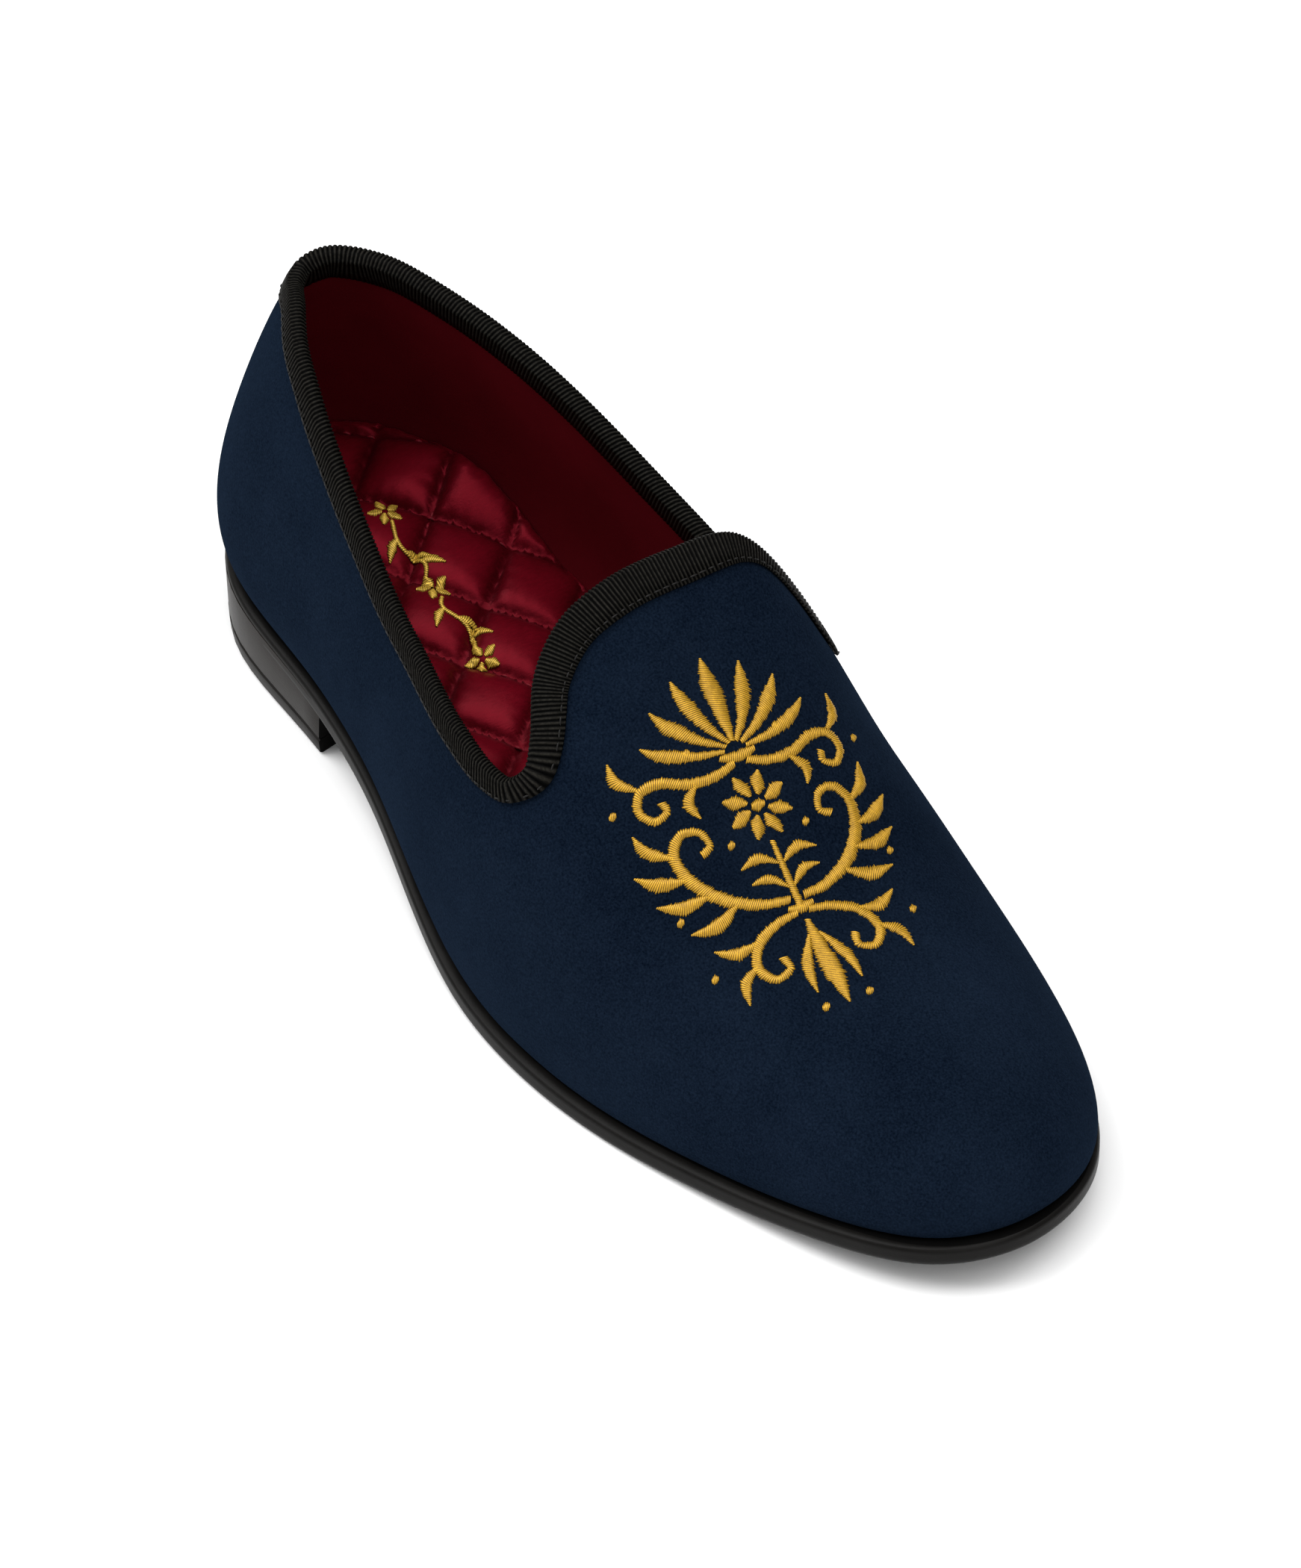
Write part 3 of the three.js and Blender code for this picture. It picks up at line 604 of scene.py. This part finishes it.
satin = Finish("crimson_satin", Roughness=0.38, Sheen_Weight=0.08, Sheen_Roughness=0.3)
satin.shader.inputs["Sheen Tint"].default_value = (1.0, 0.10, 0.16, 1)
satin.shader.inputs["Specular IOR Level"].default_value = 0.6
satin.shader.inputs["Specular Tint"].default_value = (0.9, 0.05, 0.09, 1)
slubs = satin.noise(1800.0, 1.0, satin.place((1, 0.25, 1), (0, 0, 0.4)))
weave = satin.noise(55.0, 3.0) * 0.8 + slubs * 0.5
# Painted shade: the seam attribute darkens the satin in its stitch channels.
seam = satin.node("Attribute", {"attribute_name": "seam"}, output="Fac")
satin.feed(Base_Color=satin.between(weave - seam * 0.9 + 0.04, SATIN_DEEP, SATIN_LIT))
satin.relief(satin.noise(2400.0, 2.0, satin.place((1, 0.3, 1), (0, 0, 0.4))), 0.00008, 0.5)
insole.data.materials.append(satin.material)
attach(insole, "root")
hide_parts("insole")


# Quilting thread: short dark red stitches lie end to end in the channels of the sock.
# Each one dips into the satin at both ends, and only the stretch under the collar is seen.
QUILT_STITCH = {"pitch": 0.0029, "length": 0.0021, "radius": 0.00036}
STITCHES_FROM = -0.142
STITCHES_TO = 0.03
RED_DEEP = (0.010, 0.0003, 0.0008)
RED_LIT = (0.17, 0.005, 0.013)
ABOVE = Vector((0, 0, 0.09))


def surface_of(piece):
    """Finds the spot and its outward normal where a line into a piece first meets it."""
    tree = BVHTree.FromObject(piece, bpy.context.evaluated_depsgraph_get())

    def meet(start, way):
        spot, normal, face, far = tree.ray_cast(start, way)
        return (spot, normal if normal.dot(way) < 0 else -normal) if spot else None

    return meet


sock_top = surface_of(insole)
down = Vector((0, 0, -1))
work = ([], [], [])
c, s = math.cos(QUILT_ANGLE), math.sin(QUILT_ANGLE)
for way, pitch in ((Vector((c, s, 0)), QUILT_PITCH[1]), (Vector((-s, c, 0)), QUILT_PITCH[0])):
    other = Vector((-way.y, way.x, 0))
    for line in range(-12, 13):
        for step in range(-70, 71):
            along = way * ((step + 0.5) * QUILT_STITCH["pitch"])
            centre = QUILT_CORNER + other * (line * pitch) + along
            if not STITCHES_FROM < centre.x < STITCHES_TO:
                continue
            half = way * (QUILT_STITCH["length"] / 2)
            meets = [sock_top(centre + shift + ABOVE, down) for shift in (-half, half)]
            if all(m and m[1].z > 0.7 for m in meets):
                stitch(work, meets[0][0], meets[1][0], Vector((0, 0, 1)), QUILT_STITCH["radius"])
stitches = sewn_piece("quilting_thread", *work)
thread = Finish("dark_red_thread", Roughness=0.5)
thread.shader.inputs["Specular IOR Level"].default_value = 0.15
thread_top = thread.node("Attribute", {"attribute_name": "lit"}, output="Fac")
# Painted highlight: the lit attribute makes the top of each stitch lighter and its underside darker.
thread.feed(Base_Color=thread.between(thread_top * thread.noise(800.0) * 1.8, RED_DEEP, RED_LIT))
stitches.data.materials.append(thread.material)
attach(stitches, "root")


# Bouquet: gold satin stitch on the vamp, thread beside thread across each petal and scroll.
# It is worked through the velvet by machine before lasting, the same on both sides of a stem.
THREAD_WIDTH = 0.00047
THREAD_LEAN = 0.3
THINNEST = 0.00015
RAGGED = (0.88, 1.22)
GAP_WIDTH = 0.86
# Across one thread: place from edge to edge, and height, in shares of its size.
THREAD_SHAPE = (
    (-1.0, -0.30), (-0.62, 0.62), (-0.22, 0.96), (0.22, 0.96), (0.62, 0.62), (1.0, -0.30), (0.0, -0.55),
)
GOLD_GAP_SHADE = (0.030, 0.011, 0.0006)
GOLD_LIT = (0.620, 0.340, 0.020)
random.seed(11)


def satin_stitch(work, table, place, rise=0.00045, bold=1.0):
    """Lays threads across one stroke. table has rows of (across, down, half width), in mm."""
    points, faces, lit = work
    knots = [Vector((u, v, w * bold)) / 1000 for u, v, w in table]
    curve = spline(knots, closed=False)
    last = len(knots) - 1
    threads = max(3, round(evenly(curve, last, 24, closed=False)[1] / THREAD_WIDTH))
    reads = evenly(curve, last, threads * 3, closed=False)[0]
    n, start = len(THREAD_SHAPE), len(points)
    for i, t in enumerate(reads):
        here = curve(t)
        ahead = curve(min(t + 0.02, last)) - curve(max(t - 0.02, 0))
        ahead.z = 0
        ahead.normalize()
        side = Vector((ahead.y, -ahead.x, 0))
        gap = i % 3 == 0
        if i % 3 == 1:
            ragged = [random.uniform(*RAGGED) for k in range(2)]
        wide = max(here.z, THINNEST)
        high = rise * (0.55 + 0.45 * min(1.0, here.z / 0.0012)) - (0.00016 if gap else -0.00004)
        for across, level in THREAD_SHAPE:
            reach = across * wide * (GAP_WIDTH if gap else ragged[across > 0])
            spot = here + side * reach + ahead * (reach * THREAD_LEAN)
            skin, normal = place(spot.x, spot.y)
            points.append(skin + normal * (level * high))
            # lit paints a highlight down the middle of each thread, and shade in the gaps between threads.
            lit.append(0.0 if gap else 1.0 - 0.45 * abs(across))
    for r in range(len(reads) - 1):
        a, b = start + r * n, start + (r + 1) * n
        for k in range(n):
            faces.append((a + k, a + (k + 1) % n, b + (k + 1) % n, b + k))
    faces.append(tuple(start + k for k in range(n - 1, -1, -1)))
    faces.append(tuple(start + (len(reads) - 1) * n + k for k in range(n)))


def mirrored(table):
    return [(-u, v, w) for u, v, w in table]


VAMP_TOP = Vector((0.0199, 0.0036, 0.0876))
VAMP_END = Vector((0.0939, -0.0074, 0.0454))
VAMP_ROUND = 0.062
velvet_skin = surface_of(upper)
toward_toe = (VAMP_END - VAMP_TOP).normalized()
across_vamp = Vector((0, 0, 1)).cross(toward_toe).normalized()
off_vamp = toward_toe.cross(across_vamp).normalized()
vamp_centre = velvet_skin((VAMP_TOP + VAMP_END) / 2 + off_vamp * 0.05, -off_vamp)[0]


def on_vamp(u, v):
    """The velvet's surface on the vamp, u across it and v toward the toe."""
    angle = u / VAMP_ROUND
    out = off_vamp * math.cos(angle) + across_vamp * math.sin(angle)
    start = vamp_centre + toward_toe * v + off_vamp * -VAMP_ROUND + out * (VAMP_ROUND + 0.03)
    return velvet_skin(start, -out)


PALMETTE = [
    [(0.8, -23.2, 0.5), (4.2, -28.0, 1.2), (6.6, -33.6, 1.75), (7.6, -37.2, 1.2), (8.2, -40.4, 0.2)],
    [(1.8, -22.6, 0.5), (7.2, -25.8, 1.1), (11.6, -30.0, 1.65), (13.6, -32.6, 1.1), (15.0, -35.4, 0.2)],
    [(2.6, -21.7, 0.5), (9.0, -22.6, 1.0), (14.6, -24.6, 1.5), (17.6, -26.4, 1.0), (19.8, -28.6, 0.2)],
]
SCROLLS = [
    [
        (1.5, -18.6, 0.9), (7.0, -17.0, 1.1), (13.0, -17.4, 1.2), (18.6, -19.8, 1.15), (23.4, -19.4, 1.05),
        (25.2, -15.6, 1.0), (22.8, -12.4, 0.9), (19.6, -13.4, 0.8), (20.0, -15.8, 0.95),
    ],
    [
        (1.6, 14.8, 0.9), (8.0, 13.8, 1.2), (15.2, 10.0, 1.45), (20.6, 3.6, 1.45), (22.2, -3.0, 1.25),
        (19.4, -7.2, 1.05), (15.2, -6.6, 0.9), (13.9, -3.0, 0.85), (16.4, -1.4, 0.95),
    ],
    [
        (1.4, 18.2, 0.8), (7.0, 19.2, 1.1), (12.4, 22.0, 1.2), (14.8, 27.0, 1.15), (12.2, 31.0, 1.0),
        (8.4, 30.0, 0.85), (8.8, 26.8, 0.95),
    ],
]
LEAVES = [
    [(11.6, -16.6, 0.4), (14.6, -13.2, 1.35), (13.4, -9.2, 0.2)],
    [(23.6, -20.2, 0.4), (27.0, -23.6, 1.3), (27.2, -28.4, 0.2)],
    [(22.4, -3.2, 0.4), (27.0, -6.6, 1.4), (28.6, -11.4, 0.2)],
    [(21.6, 2.4, 0.4), (27.4, 1.0, 1.55), (32.0, -2.8, 0.2)],
    [(18.4, 7.6, 0.4), (24.6, 7.8, 1.6), (30.2, 5.2, 0.2)],
    [(13.4, 11.8, 0.4), (19.2, 14.6, 1.6), (25.6, 14.0, 0.2)],
    [(12.6, 21.6, 0.4), (17.8, 22.2, 1.4), (22.4, 19.6, 0.2)],
    [(14.8, 26.6, 0.4), (18.8, 29.4, 1.3), (19.8, 34.2, 0.2)],
    [(0.6, 6.0, 0.3), (5.0, 3.6, 1.2), (9.6, 4.8, 0.2)],
    [(0.6, 12.0, 0.3), (4.4, 8.8, 1.1), (8.6, 8.8, 0.2)],
    [(1.2, 24.0, 0.4), (4.6, 31.0, 1.3), (5.2, 37.6, 0.2)],
]
STEM = [
    [(0.0, -23.4, 0.6), (0.0, -29.0, 1.5), (0.0, -36.0, 2.05), (0.0, -40.0, 1.3), (0.0, -43.4, 0.2)],
    [(-4.4, -20.6, 0.6), (-2.2, -20.0, 1.1), (0.0, -19.8, 1.2), (2.2, -20.0, 1.1), (4.4, -20.6, 0.6)],
    [(0.0, 0.6, 0.6), (0.0, 8.0, 0.8), (0.0, 17.4, 1.0)],
    [(-3.2, 16.8, 0.6), (0.0, 17.4, 1.2), (3.2, 16.8, 0.6)],
    [(0.0, 20.4, 0.6), (0.0, 27.0, 1.7), (0.0, 33.6, 2.2), (0.0, 38.4, 1.3), (0.0, 42.4, 0.2)],
]
SEEDS = [(11.0, -24.0), (26.6, 10.6), (24.6, 25.4), (30.6, -17.2), (9.4, -1.2), (5.0, 41.4)]
ROSETTE_CENTRE = -8.0
BOLD = 1.2
work = ([], [], [])
for table in PALMETTE + SCROLLS + LEAVES:
    satin_stitch(work, table, on_vamp, bold=BOLD)
    satin_stitch(work, mirrored(table), on_vamp, bold=BOLD)
for table in STEM:
    satin_stitch(work, table, on_vamp, bold=BOLD)
for u, v in SEEDS:
    for side in (-1, 1):
        dot = [(side * u - 0.9, v, 0.4), (side * u, v, 1.0), (side * u + 0.9, v, 0.4)]
        satin_stitch(work, dot, on_vamp, bold=BOLD)
for k in range(8):
    a = math.pi * (k + 0.5) / 4
    reach = ((2.4, 0.4), (5.2, 1.6), (8.2, 0.3))
    petal = [(r * math.sin(a), ROSETTE_CENTRE + r * math.cos(a), w) for r, w in reach]
    satin_stitch(work, petal, on_vamp, bold=BOLD)
knot = [(-1.7, ROSETTE_CENTRE, 0.7), (0.0, ROSETTE_CENTRE, 1.7), (1.7, ROSETTE_CENTRE, 0.7)]
satin_stitch(work, knot, on_vamp, rise=0.0007)
bouquet = sewn_piece("gold_bouquet", *work)


def gold_thread(name, gap, lit):
    """Gold yarn: painted shade between the threads and a painted highlight along the top of each one."""
    made = Finish(name, Roughness=0.36, Metallic=0.35)
    made.shader.inputs["Specular IOR Level"].default_value = 0.3
    top = made.node("Attribute", {"attribute_name": "lit"}, output="Fac")
    made.feed(Base_Color=made.between(top * (made.noise(900.0, 2.0) * 0.9 + 0.5), gap, lit))
    return made


gold = gold_thread("gold_thread", GOLD_GAP_SHADE, GOLD_LIT)
bouquet.data.materials.append(gold.material)
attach(bouquet, "root")


# Vine: the same satin stitch on the heel part of the sock, its gold painted lighter against the shade
# inside the shoe.
# A wavy stem with small leaves joins three flowers of five petals, sewn on over the quilting.
VINE_START = Vector((-0.1094, 0.0087, 0))
VINE_END = Vector((-0.0649, 0.0051, 0))
VINE_BRIDGE = 0.0013
VINE_GOLD_PAINTED_LIGHTER = (0.95, 0.62, 0.085)
vine_way = (VINE_END - VINE_START).normalized()
vine_side = Vector((-vine_way.y, vine_way.x, 0))


def on_sock(u, v):
    """The sock's surface under the vine, which bridges the channels and doesn't sink in them."""
    start = (VINE_START + VINE_END) / 2 + vine_side * u + vine_way * v + ABOVE
    shifts = (Vector((0, 0, 0)), vine_way, -vine_way, vine_side, -vine_side)
    meets = [sock_top(start + shift * VINE_BRIDGE, down) for shift in shifts]
    skin = meets[0][0]
    skin.z = (skin.z + max(spot.z for spot, normal in meets)) / 2
    return skin, sum((normal for spot, normal in meets), Vector()).normalized()


VINE = [
    [(0.0, -19.0, 0.45), (-1.5, -13.0, 0.5), (1.5, -7.0, 0.5), (0.0, -3.6, 0.45)],
    [(0.0, 3.6, 0.45), (-1.5, 7.0, 0.5), (1.5, 13.0, 0.5), (0.0, 19.0, 0.45)],
]
SPRIGS = [
    (-1.3, -14.0, 1), (-0.6, -11.2, -1), (1.3, -8.0, -1),
    (-1.3, 7.0, 1), (0.0, 10.2, -1), (1.3, 13.4, -1),
]
FLOWERS = (-22.0, 0.0, 22.0)
work = ([], [], [])
for table in VINE:
    satin_stitch(work, table, on_sock, bold=BOLD)
for u, v, way in SPRIGS:
    leaf = [(u, v, 0.25), (u - way * 2.2, v + 1.2, 1.0), (u - way * 4.4, v + 3.8, 0.2)]
    satin_stitch(work, leaf, on_sock, bold=BOLD)
for centre in FLOWERS:
    for k in range(5):
        a = 2 * math.pi * (k + 0.5) / 5
        reach = ((0.7, 0.3), (2.4, 1.05), (4.2, 0.2))
        petal = [(r * math.sin(a), centre + r * math.cos(a), w) for r, w in reach]
        satin_stitch(work, petal, on_sock, bold=BOLD)
vine = sewn_piece("gold_vine", *work)
# Painted light: the vine's gold is made lighter than the bouquet's to offset the shade inside the shoe.
vine.data.materials.append(gold_thread("pale_gold_thread", GOLD_GAP_SHADE, VINE_GOLD_PAINTED_LIGHTER).material)
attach(vine, "root")


# Outsole: one thin board of black leather, its edge trimmed, inked and burnished.
# The top of the edge stands a little proud of the velvet.
EDGE_SLIMMER = -0.001
EDGE_CREASE = 0.75


def hard_copy(node, name):
    """A smooth copy of a CAD node in four-sided faces, for leather and rubber."""
    piece = merged_copy(node, name, quads=True)
    bpy.ops.object.shade_smooth()
    return piece


def inked_leather(name, dark, lit, roughness, gloss):
    """A hard black finish, streaked lengthwise and a little rough."""
    made = Finish(name, Roughness=roughness)
    made.shader.inputs["Specular IOR Level"].default_value = gloss
    streaks = made.noise(160.0, 3.0, made.place((1, 1, 6)))
    made.feed(Base_Color=made.between(streaks, dark, lit))
    made.relief(made.noise(900.0, 3.0, made.place((1, 1, 4))), 0.0001, 0.35)
    return made


outsole = hard_copy("outsole", "leather_outsole")
bpy.ops.object.mode_set(mode="EDIT")
bpy.ops.mesh.select_mode(type="EDGE")
bpy.ops.mesh.select_all(action="DESELECT")
bpy.ops.mesh.edges_select_sharp(sharpness=math.radians(18))
bpy.ops.transform.edge_crease(value=EDGE_CREASE)
bpy.ops.object.mode_set(mode="OBJECT")
fuller(outsole, EDGE_SLIMMER)
# The flat top of the sole's ledge, in the gap under the velvet, takes a near-black colour as painted
# shade.
for face in outsole.data.polygons:
    face.material_index = int(face.normal.z > 0.9)
subdivide(outsole, 2)
edge_black = inked_leather("edge_black", (0.0022, 0.0020, 0.0018), (0.0060, 0.0055, 0.0050), 0.4, 0.075)
welt_black = inked_leather("welt_black", (0.0006, 0.0006, 0.0006), (0.0016, 0.0015, 0.0014), 0.7, 0.04)
outsole.data.materials.append(edge_black.material)
outsole.data.materials.append(welt_black.material)
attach(outsole, "root")
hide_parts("outsole")


# Heel: a low stack of leather lifts, shaped flush with the sole and inked with it.
# It is glued and nailed up under the seat, and its front face is left duller, with painted shade darkening
# its colour.
HEEL_UPPER_HALF = 0.010
HEEL_RAISE = 0.0039
HEEL_PROUD = 0.00042
HEEL_BEVEL = 0.00025


def front_face_second(piece):
    for face in piece.data.polygons:
        face.material_index = int(face.normal.x > 0.6)


def ease_edges(piece, width):
    """Rounds the sharp edges of a hard piece and leaves its flat faces flat."""
    alone(piece)
    bpy.ops.object.modifier_add(type="BEVEL")
    bevel = piece.modifiers[-1]
    bevel.width = width
    bevel.segments = 2
    bevel.angle_limit = math.radians(40)
    bpy.ops.object.modifier_apply(modifier=bevel.name)
    bpy.ops.object.shade_smooth_by_angle(angle=math.radians(35))


heel = hard_copy("heel", "heel_stack")
bpy.ops.object.mode_set(mode="EDIT")
bpy.ops.mesh.select_mode(type="VERT")
bpy.ops.mesh.select_all(action="DESELECT")
bpy.ops.object.mode_set(mode="OBJECT")
for vert in heel.data.vertices:
    vert.select = vert.co.z > HEEL_UPPER_HALF
bpy.ops.object.mode_set(mode="EDIT")
bpy.ops.transform.translate(value=(0, 0, HEEL_RAISE))
bpy.ops.transform.shrink_fatten(value=HEEL_PROUD)
bpy.ops.object.mode_set(mode="OBJECT")
stack = inked_leather("stack_black", (0.0036, 0.0029, 0.0024), (0.0110, 0.0088, 0.0074), 0.36, 0.065)
stack.shader.inputs["Specular Tint"].default_value = (1.0, 0.88, 0.79, 1)
# The front face under the arch takes a darker colour as painted shade, and a rougher finish.
breast_shade = inked_leather("breast_black", (0.0010, 0.0009, 0.0008), (0.0026, 0.0023, 0.0021), 0.6, 0.03)
heel.data.materials.append(stack.material)
heel.data.materials.append(breast_shade.material)
front_face_second(heel)
ease_edges(heel, HEEL_BEVEL)
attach(heel, "root")
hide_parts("heel")


# Top piece: the black rubber lift that the heel walks on, cut to the outline of the stack.
# It is glued and nailed on from below, and a thin groove shows above it.
TOP_PIECE_BEVEL = 0.0002
top_piece = hard_copy("top_piece", "rubber_top_piece")
rubber = inked_leather("rubber_black", (0.0040, 0.0034, 0.0030), (0.0110, 0.0095, 0.0082), 0.45, 0.08)
top_piece.data.materials.append(rubber.material)
# Its front face takes the heel's breast finish, painted darker as shade.
top_piece.data.materials.append(breast_shade.material)
front_face_second(top_piece)
ease_edges(top_piece, TOP_PIECE_BEVEL)
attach(top_piece, "root")
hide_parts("top_piece")
